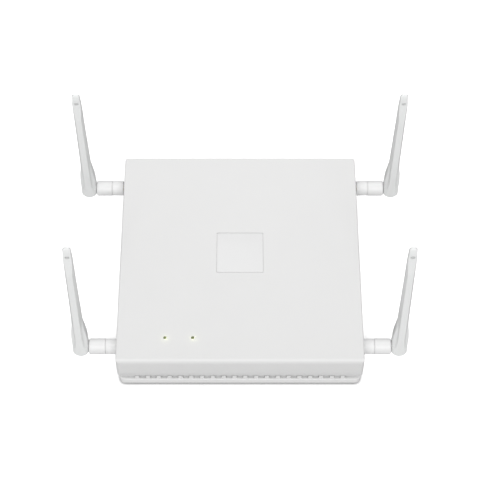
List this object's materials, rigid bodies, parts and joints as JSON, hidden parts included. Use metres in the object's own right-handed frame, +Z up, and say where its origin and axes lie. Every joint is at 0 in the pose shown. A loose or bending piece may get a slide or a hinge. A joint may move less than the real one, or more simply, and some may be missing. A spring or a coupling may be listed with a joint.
{
  "type": "wifi range extender",
  "caption": "Flat square ceiling, wall or desk wireless extender: a white moulded housing with arched side vents, status lights and hinged, swivelling rod antennas on its sides.",
  "frame": {"origin": "middle of the footprint, at the level the rubber feet rest on", "axes": "+Z up; -Y towards the front (status lights), +Y towards the rear (ports); +X to the right, along the antenna connectors"},
  "size_m": [0.284, 0.205, 0.157],
  "materials": {
    "cover_plastic": "fine satin moulded texture",
    "tray_plastic": "fine satin moulded texture",
    "badge_plastic": "smooth semi-gloss, blank",
    "light_lens": "clear green light pipe",
    "led": "clear epoxy",
    "screw_steel": "zinc plated",
    "foot_rubber": "matte grey rubber",
    "label_film": "matte printed film, blank",
    "board_laminate": "green solder mask",
    "shield_tin": "tinned sheet",
    "thermal_pad": "soft silicone",
    "heatsink_aluminium": "extruded, clear anodised",
    "card_laminate": "blue solder mask",
    "socket_plastic": "black nylon",
    "jack_shell": "nickel-plated sheet",
    "jack_plastic": "black moulded plastic",
    "button_plastic": "grey moulded plastic",
    "jack_brass": "gold-plated brass",
    "nut_steel": "nickel plated",
    "cable_jacket": "thin fluoropolymer jacket",
    "nut_plastic": "satin moulded plastic, ribbed grip",
    "knuckle_plastic": "satin moulded plastic",
    "blade_plastic": "satin moulded plastic",
    "insert_plastic": "white insulator",
    "pin_steel": "plain steel",
    "radiator_laminate": "copper on laminate"
  },
  "bodies": {
    "housing": {"top_cover": "cover_plastic", "base_tray": "tray_plastic", "badge_plate": "badge_plastic", "power_light_pipe": "light_lens", "link_light_pipe": "light_lens", "status_leds": "led", "cover_screws": "screw_steel", "board_screws": "screw_steel", "rubber_feet": "foot_rubber", "rating_label": "label_film", "main_board": "board_laminate", "shield_can": "shield_tin", "thermal_pad": "thermal_pad", "heatsink": "heatsink_aluminium", "radio_card_left": "card_laminate", "radio_card_right": "card_laminate", "card_sockets": "socket_plastic", "lan_jacks": "jack_shell", "power_jack": "jack_plastic", "reset_switch": "jack_plastic", "jack_washers": "nut_steel", "jack_nuts": "nut_steel", "antenna_jack_front_left": "jack_brass", "pigtail_front_left": "cable_jacket", "antenna_jack_rear_left": "jack_brass", "pigtail_rear_left": "cable_jacket", "antenna_jack_front_right": "jack_brass", "pigtail_front_right": "cable_jacket", "antenna_jack_rear_right": "jack_brass", "pigtail_rear_right": "cable_jacket"},
    "reset_button": {"reset_button": "button_plastic"},
    "coupling_nut_front_left": {"coupling_nut_front_left": "nut_plastic"},
    "knuckle_front_left": {"knuckle_front_left": "knuckle_plastic", "plug_insert_front_left": "insert_plastic", "hinge_pin_front_left": "pin_steel"},
    "blade_front_left": {"blade_front_front_left": "blade_plastic", "blade_rear_front_left": "blade_plastic", "radiator_front_left": "radiator_laminate"},
    "coupling_nut_rear_left": {"coupling_nut_rear_left": "nut_plastic"},
    "knuckle_rear_left": {"knuckle_rear_left": "knuckle_plastic", "plug_insert_rear_left": "insert_plastic", "hinge_pin_rear_left": "pin_steel"},
    "blade_rear_left": {"blade_front_rear_left": "blade_plastic", "blade_rear_rear_left": "blade_plastic", "radiator_rear_left": "radiator_laminate"},
    "coupling_nut_front_right": {"coupling_nut_front_right": "nut_plastic"},
    "knuckle_front_right": {"knuckle_front_right": "knuckle_plastic", "plug_insert_front_right": "insert_plastic", "hinge_pin_front_right": "pin_steel"},
    "blade_front_right": {"blade_front_front_right": "blade_plastic", "blade_rear_front_right": "blade_plastic", "radiator_front_right": "radiator_laminate"},
    "coupling_nut_rear_right": {"coupling_nut_rear_right": "nut_plastic"},
    "knuckle_rear_right": {"knuckle_rear_right": "knuckle_plastic", "plug_insert_rear_right": "insert_plastic", "hinge_pin_rear_right": "pin_steel"},
    "blade_rear_right": {"blade_front_rear_right": "blade_plastic", "blade_rear_rear_right": "blade_plastic", "radiator_rear_right": "radiator_laminate"}
  },
  "joints": [
    {"name": "nut_spin_front_left", "type": "hinge", "parent": "housing", "child": "coupling_nut_front_left", "pos_m": [-0.1085, -0.077, 0.021], "axis": [-1, 0, 0], "continuous": true},
    {"name": "swivel_front_left", "type": "hinge", "parent": "housing", "child": "knuckle_front_left", "pos_m": [-0.1205, -0.077, 0.021], "axis": [-1, 0, 0], "continuous": true},
    {"name": "fold_front_left", "type": "hinge", "parent": "knuckle_front_left", "child": "blade_front_left", "pos_m": [-0.1336, -0.077, 0.021], "axis": [0, -0.9954, 0.0958], "range_deg": [0, 90]},
    {"name": "nut_spin_rear_left", "type": "hinge", "parent": "housing", "child": "coupling_nut_rear_left", "pos_m": [-0.1085, 0.084, 0.021], "axis": [-1, 0, 0], "continuous": true},
    {"name": "swivel_rear_left", "type": "hinge", "parent": "housing", "child": "knuckle_rear_left", "pos_m": [-0.1205, 0.084, 0.021], "axis": [-1, 0, 0], "continuous": true},
    {"name": "fold_rear_left", "type": "hinge", "parent": "knuckle_rear_left", "child": "blade_rear_left", "pos_m": [-0.1352, 0.084, 0.021], "axis": [0, -1, 0], "range_deg": [0, 90]},
    {"name": "nut_spin_front_right", "type": "hinge", "parent": "housing", "child": "coupling_nut_front_right", "pos_m": [0.1085, -0.077, 0.021], "axis": [1, 0, 0], "continuous": true},
    {"name": "swivel_front_right", "type": "hinge", "parent": "housing", "child": "knuckle_front_right", "pos_m": [0.1205, -0.077, 0.021], "axis": [1, 0, 0], "continuous": true},
    {"name": "fold_front_right", "type": "hinge", "parent": "knuckle_front_right", "child": "blade_front_right", "pos_m": [0.1336, -0.077, 0.021], "axis": [0, 0.9954, -0.0958], "range_deg": [0, 90]},
    {"name": "nut_spin_rear_right", "type": "hinge", "parent": "housing", "child": "coupling_nut_rear_right", "pos_m": [0.1085, 0.084, 0.021], "axis": [1, 0, 0], "continuous": true},
    {"name": "swivel_rear_right", "type": "hinge", "parent": "housing", "child": "knuckle_rear_right", "pos_m": [0.1205, 0.084, 0.021], "axis": [1, 0, 0], "continuous": true},
    {"name": "fold_rear_right", "type": "hinge", "parent": "knuckle_rear_right", "child": "blade_rear_right", "pos_m": [0.1352, 0.084, 0.021], "axis": [0, 1, 0], "range_deg": [0, 90]},
    {"name": "reset_press", "type": "slide", "parent": "housing", "child": "reset_button", "axis": [0, -1, 0], "range_m": [0, 0.001], "stiffness_N_per_m": 1500}
  ]
}
